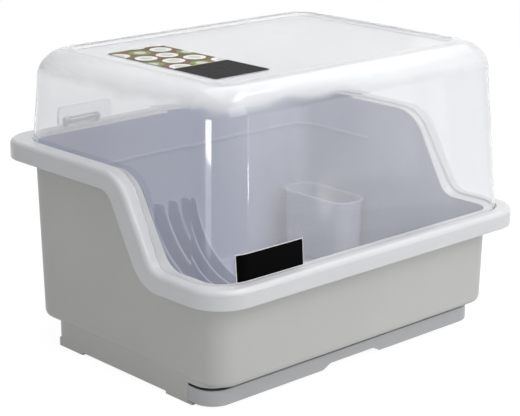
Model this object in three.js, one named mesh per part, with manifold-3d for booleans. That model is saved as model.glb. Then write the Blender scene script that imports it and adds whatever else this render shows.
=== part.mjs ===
// A covered dish drainer: a scooped plastic tub with a sliding drip tray under it, a clear lid hinged
// along the back rim, and a lift-out plate rack and cutlery holder inside.
// Millimetres, +Z up, +X along the long side, the scooped front towards -Y. The origin lies on the
// table under the middle of the tub.
import * as THREE from "three";
import { mergeVertices } from "three/addons/utils/BufferGeometryUtils.js";
import Module from "manifold-3d";

const wasm = await Module();
wasm.setup();

// Gaps and overruns
const restGap = 0.3; // between pieces that touch
const runGap = 0.5; // between pieces that slide past each other
const weld = 0.6; // how far joined solids reach into each other
const overrun = 4; // how far a cutter passes the face that it cuts

// Tub rim
const rimLength = 480;
const rimDepth = 378;
const rimHeight = 240; // top of the level rim at the back
const rimCorner = 43;
const rimOverhang = 25; // from the wall out to the rim's edge
const rimThickness = 2.8;
const rimSkirt = 21; // how far the rim's outer skirt hangs down
const skirtWall = 2.4;
const rimEdge = 6; // rounding between the rim's top and its skirt
const scoopExtra = 5; // how much deeper the skirt hangs on the slope

// Scoop of the end walls, from the level back rim to the low front rim
const scoopDrop = 93;
const scoopAngle = Math.PI / 3;
const scoopFlat = 86.9; // level front part of each end, from the rim's front edge to the slope
const scoopBend = 19; // bend of the skirt's lower edge at the top of the slope
const scoopFoot = 25; // bend of the rim at the foot of the slope

// Tub body
const tubWall = 2.5;
const tubCorner = 25;
const tubDraft = 0.0175; // how much each wall leans out per unit of height
const floorHeight = 28.5; // underside of the tub's floor
const floorBend = 9; // rounding between the floor and the walls
const ledgeDrop = 48; // the ledge inside the back wall, below the rim
const ledgeReach = 1.6;
const ledgeHeight = 3;
const ledgeRun = 149; // how far forward the ledge runs along the ends, from the rim's back edge

// Drain slots in the tub's floor
const drainWidth = 6;
const drainColumns = 9;
const drainRows = 3;
const drainBar = 21.5; // floor left between one row and the next
const drainMargin = 20; // from the inside of the drip tray to the outer slots

// Base skirt and feet, under the tub
const baseStep = 2.7; // from the wall in to the base
const baseWall = 2.5;
const baseBackInset = 25;
const baseFrontInset = 17.5;
const baseCorner = 25;
const footHeight = 3;
const footLength = 43;
const footWidth = 12;
const frontFootLead = 6; // how far the front feet reach past the seam
const backFootSet = 14;

// Drip tray
const fasciaWrap = 36; // how far the fascia runs back along each end
const fasciaHeight = 17.5;
const fasciaGroove = 3; // between the fascia and the base skirt above it
const fasciaWall = 2.5;
const notchLength = 103;
const notchTopLength = 80;
const notchHeight = 5.8;
const railHeight = 12; // top of the rails that carry the tray
const railWall = 2.2;
const trayFlange = 2;
const trayFlangeWidth = 9;
const trayLift = 4; // underside of the tray above the table
const trayWall = 2;
const trayCorner = 18;
const fingerRoom = 13; // behind the fascia, for the fingers
const trayBackGap = 5;

// Lid
const lidRise = 102; // top of the lid above the back rim
const lidMargin = 19.5; // rim left showing outside the lid, at the back
const lidDraft = 0.062; // how much each wall leans in per unit of height
const lidWall = 2;
const lidCorner = 41;
const lidBend = 30; // rounding between the walls and the top
const panelCorner = 24;
const panelRidge = 3; // width of the ridge round the sunk panel
const panelSink = 3;
const panelSlope = 3;
const seatDepth = 3; // how far the lid sits into the rim
const seatGap = 1.5; // clear way beside the lid, which it needs when it swings open

// Lid hinge
const clipMargin = 54.5; // from the end of the lid to the end of each hinge clip
const clipLength = 76;
const clipHeight = 22;
const clipWall = 2;
const clipCorner = 5;
const clipLift = 3; // lower edge of the clip above the rim
const knuckleLength = 40;
const knuckleWall = 2;
const knuckleMouth = 3.6;
const armThickness = 2.6; // of the arm from the clip's plate to the top of its knuckle
const pinRadius = 2.2;
const earWall = 1.8; // round the pin
const earThickness = 4;
const earGap = 1.2; // between the ears and the clip
const hingeRoom = 2; // under the knuckles

// Plate rack
const finCount = 9;
const finPitch = 20;
const finWall = 2.2;
const rackFloor = 2.5;
const rackMargin = 10; // floor of the rack past its outer fins
const rackEndGap = 12.3; // flat floor of the tub left beside the rack
const rackBackGap = 25.3;
const rackFrontGap = 33.3;
const finBackRise = 108;
const finFrontRise = 77;
const finCrown = 18; // length of the fins' tops at the back
const finTip = 6; // rounding of the fins' tips
const cradleRise = 28; // lowest point of the round hollow above the rack's floor
const rackSlotWidth = 9;
const rackSlotMargin = 24; // from the ends of the slots to the edge of the rack
const rackSlotBar = 30; // floor left between the front and the back slots

// Cutlery holder
const holderLength = 106;
const holderWidth = 42;
const holderHeight = 84;
const holderWall = 2;
const holderCorner = 16;
const holderFlare = 3; // how much wider the mouth is, on each side
const holderLip = 2;
const holderBackGap = 10.3; // flat floor of the tub left behind the holder
const holderDividerDrop = 21; // top of the divider below the mouth
const holderHole = 3; // radius of its drain holes
const holderHoleCount = 4;
const holderHoleMargin = 20; // from the ends of the holder to its outer holes

// Label on the lid's front and card on its top
const labelWrap = 14.8; // how far the label reaches past the start of the lid's left corner
const labelLength = 91;
const labelHeight = 29;
const labelRise = 1.5; // above the front rim
const labelThickness = 0.5;
const cardWidth = 75;
const cardEndMargin = 15.7; // from the edge of the sunk panel to the card
const cardFrontMargin = 26.2;
const cardBackMargin = 48.2;
const cardCorner = 2;

// Steps of the round stretches
const cornerSteps = 6;
const scoopSteps = 5;
const edgeSteps = 3;
const bendSteps = 5;
const slotSteps = 2;
const roundSteps = 12;

// Sizes that follow
const frontRim = rimHeight - scoopDrop;
const slopeSkirt = rimSkirt + scoopExtra;
const scoopBendTop = scoopBend + slopeSkirt;
const bendSum = scoopBendTop + scoopFoot;
const slopeRun = (scoopDrop - bendSum * (1 - Math.cos(scoopAngle))) / Math.sin(scoopAngle);
const scoopEnd = scoopFlat - rimDepth / 2; // Y of the foot of the slope
const scoopTop = scoopEnd + bendSum * Math.sin(scoopAngle) + slopeRun * Math.cos(scoopAngle);
const lidTop = rimHeight + lidRise;
const floorTop = floorHeight + tubWall;

const rimHalf = (inset) => () => [rimLength / 2 - inset, rimDepth / 2 - inset];
const wallHalf = (inset) => (z) => {
  const lean = (rimHeight - z) * tubDraft + rimOverhang + inset;
  return [rimLength / 2 - lean, rimDepth / 2 - lean];
};
const lidHalf = (inset) => (z) => {
  const lean = (z - rimHeight) * lidDraft + lidMargin + inset;
  return [rimLength / 2 - lean, rimDepth / 2 - lean];
};

const [baseHalfX, baseHalfY] = wallHalf(baseStep)(floorHeight);
const baseFront = baseFrontInset - baseHalfY - baseStep;
const baseBack = baseHalfY + baseStep - baseBackInset;
const seamY = baseFront + fasciaWrap;
const railInner = baseHalfX - baseWall - trayFlangeWidth;
const trayHalfX = railInner - runGap;
const trayBack = baseBack - baseWall - trayBackGap;
const trayFront = baseFront + fasciaWall + fingerRoom;
const flangeLow = railHeight + restGap;
const flangeHigh = flangeLow + trayFlange;
const fasciaLow = footHeight + runGap;
const fasciaHigh = fasciaLow + fasciaHeight;

// The flat part of the tub's floor, and where the rack stands on it
const [floorFlatX, floorFlatY] = wallHalf(floorBend)(floorTop);
const rackBack = floorFlatY - rackBackGap;
const rackFront = rackFrontGap - floorFlatY;
const firstFinX = rackEndGap - floorFlatX + rackMargin;

const knuckleRadius = pinRadius + restGap + knuckleWall;
const earRadius = pinRadius + earWall;
const hingeZ = rimHeight + hingeRoom + knuckleRadius;
const hingeY = lidHalf(0)(rimHeight)[1] + restGap + clipWall + earGap + earRadius;
const clipCentre = lidHalf(0)(rimHeight)[0] - clipMargin - clipLength / 2;

// The rim's stations along one end wall, from the front to the back, each with its slope
function scoopStations() {
  const stations = [];
  for (let i = 0; i <= scoopSteps; i++) {
    const slope = (scoopAngle * i) / scoopSteps;
    const y = scoopEnd + scoopFoot * Math.sin(slope);
    stations.push({ y, z: frontRim + scoopFoot * (1 - Math.cos(slope)), slope });
  }
  for (let i = scoopSteps; i >= 0; i--) {
    const slope = (scoopAngle * i) / scoopSteps;
    const y = scoopTop - scoopBendTop * Math.sin(slope);
    stations.push({ y, z: rimHeight - scoopBendTop * (1 - Math.cos(slope)), slope });
  }
  return stations;
}

// A closed line round the tub, counter-clockwise from above. It lies at one level, or it follows the
// rim at a depth below its top, measured square to the rim, with extra depth on the slope.
function scoopRing({ half, corner, level, depth, extra = 0 }) {
  const height = (rim) => (level === undefined ? rim - depth : level);
  const points = [];
  const addEnd = (side, stations) => {
    for (const { y, z, slope } of stations) {
      const sunk = level === undefined ? depth + (extra * Math.sin(slope)) / Math.sin(scoopAngle) : 0;
      const pointZ = level === undefined ? z - sunk * Math.cos(slope) : level;
      points.push([side * half(pointZ)[0], y + sunk * Math.sin(slope), pointZ]);
    }
  };
  const addCorner = (sideX, sideY, start) => {
    const z = height(sideY > 0 ? rimHeight : frontRim);
    const [halfX, halfY] = half(z);
    for (let i = 0; i <= cornerSteps; i++) {
      const angle = start + (Math.PI / 2) * (i / cornerSteps);
      const x = sideX * (halfX - corner) + corner * Math.cos(angle);
      points.push([x, sideY * (halfY - corner) + corner * Math.sin(angle), z]);
    }
  };
  const stations = scoopStations();
  addEnd(1, stations);
  addCorner(1, 1, 0);
  addCorner(-1, 1, Math.PI / 2);
  addEnd(-1, stations.reverse());
  addCorner(-1, -1, Math.PI);
  addCorner(1, -1, Math.PI * 1.5);
  return points;
}

// A level rounded rectangle as a closed line, counter-clockwise from above
function plainRing({ low, high, corner, z }) {
  const points = [];
  const corners = [
    [high[0], high[1], 0],
    [low[0], high[1], 1],
    [low[0], low[1], 2],
    [high[0], low[1], 3],
  ];
  const middle = [(low[0] + high[0]) / 2, (low[1] + high[1]) / 2];
  for (const [x, y, quarter] of corners) {
    const centreX = x - Math.sign(x - middle[0]) * corner;
    const centreY = y - Math.sign(y - middle[1]) * corner;
    for (let i = 0; i <= cornerSteps; i++) {
      const angle = (Math.PI / 2) * (quarter + i / cornerSteps);
      points.push([centreX + corner * Math.cos(angle), centreY + corner * Math.sin(angle), z]);
    }
  }
  return points;
}

// A closed body through a chain of rings, with its first and last ring filled from their middles
function loft(rings) {
  const count = rings[0].length;
  const positions = rings.flat(2);
  const index = [];
  const centre = (ring) => {
    const middle = [0, 1, 2].map((axis) => ring.reduce((sum, point) => sum + point[axis], 0) / count);
    positions.push(...middle);
    return positions.length / 3 - 1;
  };
  const first = centre(rings[0]);
  const last = centre(rings.at(-1));
  const top = (rings.length - 1) * count;
  for (let j = 0; j < count; j++) {
    const next = (j + 1) % count;
    index.push(first, next, j, last, top + j, top + next);
    for (let i = 0; i < rings.length - 1; i++) {
      const a = i * count + j;
      const b = i * count + next;
      index.push(a, b, b + count, a, b + count, a + count);
    }
  }
  const geometry = new THREE.BufferGeometry();
  geometry.setAttribute("position", new THREE.Float32BufferAttribute(positions, 3));
  geometry.setIndex(index);
  return geometry;
}

// Rings along a quarter round between two directions of an inset and a depth
function quarterRings(radius, steps, makeRing) {
  const rings = [];
  for (let i = 0; i <= steps; i++) {
    const angle = (Math.PI / 2) * (i / steps);
    rings.push(makeRing(radius * (1 - Math.cos(angle)), radius * (1 - Math.sin(angle))));
  }
  return rings;
}

function solid(geometry) {
  const bare = geometry.clone();
  bare.deleteAttribute("normal");
  bare.deleteAttribute("uv");
  const merged = mergeVertices(bare);
  const vertProperties = new Float32Array(merged.attributes.position.array);
  const triVerts = new Uint32Array(merged.index.array);
  const mesh = new wasm.Mesh({ numProp: 3, vertProperties, triVerts });
  return new wasm.Manifold(mesh);
}

function geometryOf(body) {
  const mesh = body.getMesh();
  const geometry = new THREE.BufferGeometry();
  geometry.setAttribute("position", new THREE.Float32BufferAttribute(mesh.vertProperties, 3));
  geometry.setIndex(new THREE.Uint32BufferAttribute(mesh.triVerts, 1));
  return geometry;
}

const join = (bodies) => bodies.reduce((sum, body) => sum.add(body));

function box(low, high) {
  const size = high.map((value, axis) => value - low[axis]);
  const geometry = new THREE.BoxGeometry(...size);
  geometry.translate(...low.map((value, axis) => value + size[axis] / 2));
  return solid(geometry);
}

function roundedShape(low, high, corner, Outline = THREE.Shape) {
  const shape = new Outline();
  shape.absarc(high[0] - corner, high[1] - corner, corner, 0, Math.PI / 2);
  shape.absarc(low[0] + corner, high[1] - corner, corner, Math.PI / 2, Math.PI);
  shape.absarc(low[0] + corner, low[1] + corner, corner, Math.PI, Math.PI * 1.5);
  shape.absarc(high[0] - corner, low[1] + corner, corner, Math.PI * 1.5, Math.PI * 2);
  shape.closePath();
  return shape;
}

// A flat outline drawn from above, raised from one level to another
function raise(shape, low, high, curveSegments = cornerSteps) {
  const geometry = new THREE.ExtrudeGeometry(shape, {
    depth: high - low,
    bevelEnabled: false,
    curveSegments,
  });
  geometry.translate(0, 0, low);
  return solid(geometry);
}

// An outline drawn in Y and Z, run along X from one place to another
function runAlongX(shape, low, high, curveSegments = cornerSteps) {
  const geometry = new THREE.ExtrudeGeometry(shape, {
    depth: high - low,
    bevelEnabled: false,
    curveSegments,
  });
  geometry.applyMatrix4(new THREE.Matrix4().set(0, 0, 1, 0, 1, 0, 0, 0, 0, 1, 0, 0, 0, 0, 0, 1));
  geometry.translate(low, 0, 0);
  return solid(geometry);
}

// A slot with round ends along Y, cut through a plate from its underside to its top
function slotCutter(corner, far, under, top) {
  const outline = roundedShape(corner, far, (far[0] - corner[0]) / 2);
  return raise(outline, under - overrun, top + overrun, slotSteps);
}

// Places spread evenly from the first to the last
function evenPlaces(first, last, count) {
  return Array.from({ length: count }, (_, i) => first + ((last - first) * i) / (count - 1));
}

// The round between the floor and the walls, from the floor outwards, at an inset from the outside
function floorRings(inset, bend, base) {
  const rings = quarterRings(bend, edgeSteps, (drop, rise) => {
    const half = (z) => wallHalf(inset)(z).map((value) => value - drop);
    return scoopRing({ half, corner: tubCorner - inset - drop, level: base + rise });
  });
  return rings.reverse();
}

const innerRings = [
  ...floorRings(tubWall, floorBend - tubWall, floorTop),
  scoopRing({ half: wallHalf(tubWall), corner: tubCorner - tubWall, depth: seatDepth }),
];

function tubShell() {
  const rings = floorRings(0, floorBend, floorHeight);
  const add = (half, corner, where) => rings.push(scoopRing({ half, corner, ...where }));
  add(wallHalf(0), tubCorner, { depth: rimThickness });
  const insideEdge = quarterRings(rimEdge - skirtWall, edgeSteps, (inset, fall) =>
    scoopRing({ half: rimHalf(skirtWall + inset), corner: rimCorner - skirtWall - inset,
      depth: rimThickness + fall }));
  rings.push(...insideEdge.reverse());
  const skirtEnd = { depth: rimSkirt, extra: scoopExtra };
  add(rimHalf(skirtWall), rimCorner - skirtWall, skirtEnd);
  add(rimHalf(0), rimCorner, skirtEnd);
  rings.push(...quarterRings(rimEdge, edgeSteps, (inset, fall) =>
    scoopRing({ half: rimHalf(inset), corner: rimCorner - inset, depth: fall })));
  add(lidHalf(-seatGap), lidCorner + seatGap, { depth: 0 });
  add(lidHalf(-seatGap), lidCorner + seatGap, { depth: seatDepth });
  rings.push(...innerRings.toReversed());
  return solid(loft(rings));
}

// The ledge along the inside of the back wall and the back of the end walls
function tubLedge() {
  const top = rimHeight - ledgeDrop;
  const outer = wallHalf(tubWall - weld)(top);
  const inner = wallHalf(tubWall + ledgeReach)(top);
  const innerCorner = tubCorner - tubWall - ledgeReach;
  const band = roundedShape([-outer[0], -outer[1]], outer, tubCorner - tubWall + weld);
  band.holes.push(roundedShape([-inner[0], -inner[1]], inner, innerCorner, THREE.Path));
  const reach = rimLength / 2;
  const rear = box([-reach, rimDepth / 2 - ledgeRun, 0], [reach, rimDepth / 2, rimHeight]);
  return raise(band, top - ledgeHeight, top).intersect(rear);
}

// A rounded band that follows the outline of the base, with a wall of its own
function baseBand(wall, low, high) {
  const band = roundedShape([-baseHalfX, baseFront], [baseHalfX, baseBack], baseCorner);
  const innerLow = [wall - baseHalfX, baseFront + wall];
  const innerHigh = [baseHalfX - wall, baseBack - wall];
  band.holes.push(roundedShape(innerLow, innerHigh, baseCorner - wall, THREE.Path));
  return raise(band, low, high);
}

// Everything in front of a place along Y and below a level
const frontBlock = (y, high) => box([-rimLength, -rimDepth, 0], [rimLength, y, high]);

// The skirt that the tub stands on, cut away at the front for the drip tray's fascia
function baseSkirt() {
  const skirt = baseBand(baseWall, footHeight, floorHeight + floorBend / 2);
  return skirt.subtract(frontBlock(seamY + runGap, fasciaHigh + fasciaGroove));
}

function footPads() {
  const pads = [];
  const blockTop = railHeight - railWall + weld;
  const frontLow = seamY - frontFootLead;
  const backHigh = baseBack - backFootSet;
  for (const side of [-1, 1]) {
    const xs = [side * (baseHalfX - footWidth), side * baseHalfX].sort((a, b) => a - b);
    const pad = (yLow, yHigh, top) => pads.push(box([xs[0], yLow, 0], [xs[1], yHigh, top]));
    pad(frontLow, frontLow + footLength, footHeight);
    pad(seamY + runGap, frontLow + footLength, blockTop);
    pad(backHigh - footLength, backHigh, blockTop);
  }
  return join(pads);
}

// The rails inside the base skirt, which the drip tray's flange slides on
function trayRails() {
  const rails = [];
  for (const side of [-1, 1]) {
    const xs = [side * railInner, side * (baseHalfX - baseWall + weld)].sort((a, b) => a - b);
    const low = [xs[0], seamY + runGap, railHeight - railWall];
    rails.push(box(low, [xs[1], baseBack - baseCorner, railHeight]));
  }
  return join(rails);
}

function drainSlots() {
  const slots = [];
  const inset = trayWall + drainMargin;
  const [endX, front, back] = [trayHalfX - inset, trayFront + inset, trayBack - inset];
  const length = (back - front - drainBar * (drainRows - 1)) / drainRows;
  for (const x of evenPlaces(-endX, endX - drainWidth, drainColumns)) {
    for (const y of evenPlaces(front, back - length, drainRows)) {
      slots.push(slotCutter([x, y], [x + drainWidth, y + length], floorHeight, floorTop));
    }
  }
  return join(slots);
}

// Two ears and the pin between them, standing on the back rim for one hinge clip
function hingeEars(centreX) {
  const ear = new THREE.Shape();
  ear.moveTo(hingeY - earRadius, rimHeight - rimThickness / 2);
  ear.lineTo(hingeY + earRadius, rimHeight - rimThickness / 2);
  ear.lineTo(hingeY + earRadius, hingeZ);
  ear.absarc(hingeY, hingeZ, earRadius, 0, Math.PI);
  ear.closePath();
  const inner = knuckleLength / 2 + restGap;
  const outer = inner + earThickness;
  const pin = new THREE.CylinderGeometry(pinRadius, pinRadius, outer * 2 - earThickness, roundSteps);
  pin.rotateZ(Math.PI / 2);
  pin.translate(centreX, hingeY, hingeZ);
  return join([
    runAlongX(ear, centreX - outer, centreX - inner),
    runAlongX(ear, centreX + inner, centreX + outer),
    solid(pin),
  ]);
}

function tubGeometry() {
  const ears = [-clipCentre, clipCentre].map(hingeEars);
  const base = join([baseSkirt(), footPads(), trayRails()]).subtract(solid(loft(innerRings)));
  const whole = join([tubShell(), tubLedge(), base, ...ears]);
  return geometryOf(whole.subtract(drainSlots()));
}

function trayGeometry() {
  const ring = (x, front, back, corner, z) =>
    plainRing({ low: [-x, front], high: [x, back], corner, z });
  const inside = [trayHalfX - trayWall, trayFront + trayWall, trayBack - trayWall];
  const pan = solid(loft([
    ring(trayHalfX, trayFront, trayBack, trayCorner, trayLift),
    ring(trayHalfX, trayFront, trayBack, trayCorner, flangeHigh),
    ring(...inside, trayCorner - trayWall, flangeHigh),
    ring(...inside, trayCorner - trayWall, trayLift + trayWall),
  ]));
  const flangeX = trayHalfX + trayFlangeWidth;
  const flangeFront = baseFront + fasciaWall - weld;
  const flange = roundedShape([-flangeX, flangeFront], [flangeX, trayBack], trayCorner);
  const hole = roundedShape([-inside[0], inside[1]], [inside[0], inside[2]],
    trayCorner - trayWall, THREE.Path);
  flange.holes.push(hole);
  const flangePlate = raise(flange, flangeLow, flangeHigh);
  const fascia = baseBand(fasciaWall, fasciaLow, fasciaHigh).intersect(frontBlock(seamY, fasciaHigh));
  const tray = join([pan, flangePlate, fascia]);
  return geometryOf(tray.subtract(notchCutter()));
}

// The finger notch in the fascia's lower edge
function notchCutter() {
  const notch = new THREE.Shape();
  notch.moveTo(-notchLength / 2, fasciaLow - overrun);
  notch.lineTo(notchLength / 2, fasciaLow - overrun);
  notch.lineTo(notchLength / 2, fasciaLow);
  notch.lineTo(notchTopLength / 2, fasciaLow + notchHeight);
  notch.lineTo(-notchTopLength / 2, fasciaLow + notchHeight);
  notch.lineTo(-notchLength / 2, fasciaLow);
  notch.closePath();
  const depth = fasciaWall + overrun * 2;
  const geometry = new THREE.ExtrudeGeometry(notch, { depth, bevelEnabled: false });
  geometry.rotateX(Math.PI / 2);
  geometry.translate(0, baseFront + fasciaWall + overrun, 0);
  return solid(geometry);
}

function lidGeometry() {
  const seat = seatDepth - restGap;
  const wallTop = lidTop - lidBend;
  const cornerAt = (drop, bend) => lidCorner - ((lidCorner - panelCorner) * drop) / bend;
  const bendRings = (inset, bend) =>
    quarterRings(bend, bendSteps, (drop, fall) => {
      const half = (z) => lidHalf(inset)(z).map((value) => value - drop);
      const corner = cornerAt(drop, bend) - inset;
      return scoopRing({ half, corner, level: wallTop + bend - fall });
    });
  const panelRings = (inset, step, level) => {
    const [halfX, halfY] = lidHalf(inset)(lidTop);
    const half = () => [halfX, halfY].map((value) => value - (lidBend - inset) - step);
    return scoopRing({ half, corner: panelCorner - inset - step, level });
  };
  const inner = [
    panelRings(lidWall, panelRidge + panelSlope, lidTop - lidWall - panelSink),
    panelRings(lidWall, panelRidge, lidTop - lidWall),
    ...bendRings(lidWall, lidBend - lidWall).reverse(),
    scoopRing({ half: lidHalf(lidWall), corner: lidCorner - lidWall, depth: seat }),
  ];
  const outer = [
    scoopRing({ half: lidHalf(0), corner: lidCorner, depth: seat }),
    ...bendRings(0, lidBend),
    panelRings(0, panelRidge, lidTop),
    panelRings(0, panelRidge + panelSlope, lidTop - panelSink),
  ];
  return loft([...inner, ...outer]);
}

// One hinge clip: a plate on the lid's back wall, with a knuckle that snaps over the pin
function clipGeometry() {
  const lidBack = (z) => lidHalf(-restGap)(z)[1];
  const low = rimHeight + clipLift;
  const high = low + clipHeight;
  const outline = roundedShape([-clipLength / 2, low], [clipLength / 2, high], clipCorner);
  const plate = new THREE.ExtrudeGeometry(outline, {
    depth: clipWall,
    bevelEnabled: false,
    curveSegments: edgeSteps,
  });
  plate.rotateX(Math.PI / 2);
  plate.translate(0, clipWall, 0);
  const position = plate.attributes.position;
  for (let i = 0; i < position.count; i++) {
    position.setY(i, position.getY(i) + lidBack(position.getZ(i)));
  }
  const knuckle = new THREE.Shape();
  const mouth = Math.asin(knuckleMouth / 2 / knuckleRadius);
  const bore = pinRadius + restGap;
  const boreMouth = Math.asin(knuckleMouth / 2 / bore);
  knuckle.absarc(hingeY, hingeZ, knuckleRadius, mouth, Math.PI * 2 - mouth, false);
  knuckle.absarc(hingeY, hingeZ, bore, Math.PI * 2 - boreMouth, boreMouth, true);
  knuckle.closePath();
  const reach = lidBack(hingeZ) + clipWall - weld;
  const armLow = [-knuckleLength / 2, reach, hingeZ + knuckleRadius - armThickness];
  const armHigh = [knuckleLength / 2, hingeY - bore / 2, hingeZ + knuckleRadius];
  const clearBore = new THREE.CylinderGeometry(bore, bore, knuckleLength + overrun, roundSteps);
  clearBore.rotateZ(Math.PI / 2);
  clearBore.translate(0, hingeY, hingeZ);
  const whole = join([
    solid(plate),
    runAlongX(knuckle, -knuckleLength / 2, knuckleLength / 2, roundSteps),
    box(armLow, armHigh),
  ]);
  return geometryOf(whole.subtract(solid(clearBore)));
}

// One fin, standing on the rack's floor, with a round hollow between its back and front tops
function finShape(base) {
  const crownY = rackBack - finCrown;
  const crownRise = finBackRise - cradleRise;
  const cradleRadius = (crownY ** 2 + crownRise ** 2) / (2 * crownRise);
  const centreZ = base + cradleRise + cradleRadius;
  const backTop = base + finBackRise;
  const frontTop = base + finFrontRise;
  const angleAt = (z, side) => {
    const sine = (z - centreZ) / cradleRadius;
    return side > 0 ? Math.asin(sine) : -Math.PI - Math.asin(sine);
  };
  const shape = new THREE.Shape();
  shape.moveTo(rackFront, base - weld);
  shape.lineTo(rackBack, base - weld);
  shape.absarc(rackBack - finTip, backTop - finTip, finTip, 0, Math.PI / 2);
  shape.absarc(0, centreZ, cradleRadius, angleAt(backTop, 1), angleAt(frontTop, -1), true);
  shape.absarc(rackFront + finTip, frontTop - finTip, finTip, Math.PI / 2, Math.PI);
  shape.closePath();
  return shape;
}

function rackGeometry() {
  const floorLow = floorTop + restGap;
  const floorHigh = floorLow + rackFloor;
  const lastFinX = firstFinX + finPitch * (finCount - 1);
  const corner = [firstFinX - rackMargin, rackFront];
  const plateOutline = roundedShape(corner, [lastFinX + rackMargin, rackBack], finTip);
  const fins = [];
  for (const x of evenPlaces(firstFinX, lastFinX, finCount)) {
    fins.push(runAlongX(finShape(floorHigh), x - finWall / 2, x + finWall / 2));
  }
  const middle = (rackFront + rackBack) / 2;
  const slotEnds = [
    [rackFront + rackSlotMargin, middle - rackSlotBar / 2],
    [middle + rackSlotBar / 2, rackBack - rackSlotMargin],
  ];
  const slots = [];
  for (const x of evenPlaces(firstFinX + finPitch / 2, lastFinX - finPitch / 2, finCount - 1)) {
    for (const [near, far] of slotEnds) {
      slots.push(slotCutter([x - rackSlotWidth / 2, near], [x + rackSlotWidth / 2, far],
        floorLow, floorHigh));
    }
  }
  const whole = join([raise(plateOutline, floorLow, floorHigh), ...fins]);
  return geometryOf(whole.subtract(join(slots)));
}

function holderGeometry() {
  const endX = floorFlatX - runGap;
  const backY = floorFlatY - holderBackGap;
  const frontY = backY - holderLength;
  const middle = [endX - holderWidth / 2, (frontY + backY) / 2];
  const low = floorTop + restGap;
  const top = low + holderHeight;
  const ring = (grow, z) =>
    plainRing({
      low: [endX - holderWidth - grow, frontY - grow],
      high: [endX + grow, backY + grow],
      corner: holderCorner + grow,
      z,
    });
  const shell = solid(loft([
    ring(0, low),
    ring(holderFlare, top - holderLip),
    ring(holderFlare + holderLip, top - holderLip),
    ring(holderFlare + holderLip, top),
    ring(holderFlare - holderWall, top),
    ring(-holderWall, low + holderWall),
  ]));
  const divider = box([endX - holderWidth, middle[1] - holderWall / 2, low + holderWall / 2],
    [endX, middle[1] + holderWall / 2, top - holderDividerDrop]);
  const holes = [];
  for (const y of evenPlaces(frontY + holderHoleMargin, backY - holderHoleMargin, holderHoleCount)) {
    const hole = new THREE.CylinderGeometry(holderHole, holderHole, holderWall + overrun, cornerSteps);
    hole.rotateX(Math.PI / 2);
    hole.translate(middle[0], y, low + holderWall / 2);
    holes.push(solid(hole));
  }
  return geometryOf(shell.add(divider).subtract(join(holes)));
}

// A thin label on the lid's front wall, its outer end carried a little way round the corner
function labelGeometry() {
  const low = frontRim + labelRise;
  const high = low + labelHeight;
  const labelStart = lidHalf(0)(low)[0] - lidCorner + labelWrap;
  const line = (inset, z) => {
    const [halfX, halfY] = lidHalf(inset)(z);
    const corner = lidCorner - inset;
    const turnX = halfX - corner;
    const points = [[labelLength - labelStart, -halfY, z]];
    const round = (labelStart - turnX) / corner;
    for (let i = 0; i <= edgeSteps; i++) {
      const angle = Math.PI * 1.5 - (round * i) / edgeSteps;
      points.push([-turnX + corner * Math.cos(angle), corner - halfY + corner * Math.sin(angle), z]);
    }
    return points;
  };
  const near = -restGap;
  const far = -restGap - labelThickness;
  const edges = [line(near, low), line(far, low), line(far, high), line(near, high)];
  const rings = edges[0].map((_, i) => edges.map((edge) => edge[i]));
  return loft(rings);
}

function cardGeometry() {
  const edge = lidBend + panelRidge + panelSlope;
  const [halfX, halfY] = lidHalf(0)(lidTop).map((value) => value - edge);
  const low = [cardEndMargin - halfX, cardFrontMargin - halfY];
  const high = [low[0] + cardWidth, halfY - cardBackMargin];
  const bottom = lidTop - panelSink + restGap;
  const outline = roundedShape(low, high, cardCorner);
  return geometryOf(raise(outline, bottom, bottom + labelThickness, edgeSteps));
}

function piece(name, geometry, color, roughness, opacity = 1) {
  const material = new THREE.MeshStandardMaterial({ color, roughness, metalness: 0, opacity });
  material.transparent = opacity < 1;
  const mesh = new THREE.Mesh(geometry, material);
  mesh.name = name;
  return mesh;
}

const drainer = new THREE.Group();
const lidGroup = new THREE.Group();
const clip = clipGeometry();
const clips = [["hinge_clip_left", -clipCentre], ["hinge_clip_right", clipCentre]];
for (const [name, x] of clips) {
  const mesh = piece(name, clip, 0xdfe1e4, 0.35, 0.6);
  mesh.position.x = x;
  lidGroup.add(mesh);
}
lidGroup.add(
  piece("lid", lidGeometry(), 0xe9ebee, 0.2, 0.35),
  piece("front_label", labelGeometry(), 0x17171a, 0.4),
  piece("top_card", cardGeometry(), 0x3a3a3c, 0.5),
);
drainer.add(
  piece("drainer_tub", tubGeometry(), 0xbbbcb9, 0.45),
  piece("drip_tray", trayGeometry(), 0xaeb0b1, 0.5),
  piece("plate_rack", rackGeometry(), 0xc4c7d2, 0.45),
  piece("cutlery_holder", holderGeometry(), 0xc4c7d2, 0.45),
  lidGroup,
);

export default drainer;
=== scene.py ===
import bmesh
import bpy
from bmesh.types import BMEdge, BMFace, BMVert
from math import acos, asin, copysign, cos, hypot, pi, radians, sin, tau
from mathutils import Matrix, Quaternion, Vector


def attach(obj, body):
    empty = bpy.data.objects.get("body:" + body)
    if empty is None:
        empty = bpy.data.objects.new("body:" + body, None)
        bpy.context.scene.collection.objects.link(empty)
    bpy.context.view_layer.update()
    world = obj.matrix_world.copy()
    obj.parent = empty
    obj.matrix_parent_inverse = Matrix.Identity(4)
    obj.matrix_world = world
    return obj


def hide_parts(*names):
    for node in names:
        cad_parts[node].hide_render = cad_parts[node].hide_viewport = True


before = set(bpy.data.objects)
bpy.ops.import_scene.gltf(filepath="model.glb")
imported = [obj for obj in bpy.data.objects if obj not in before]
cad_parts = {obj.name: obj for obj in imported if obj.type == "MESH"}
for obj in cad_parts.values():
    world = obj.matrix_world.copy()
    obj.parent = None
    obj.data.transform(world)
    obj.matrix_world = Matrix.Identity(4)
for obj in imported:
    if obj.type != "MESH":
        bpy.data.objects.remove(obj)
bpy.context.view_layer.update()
scene = bpy.context.scene
quarterTurn = pi / 2
mm = 0.001


# Camera, light and floor

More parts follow.
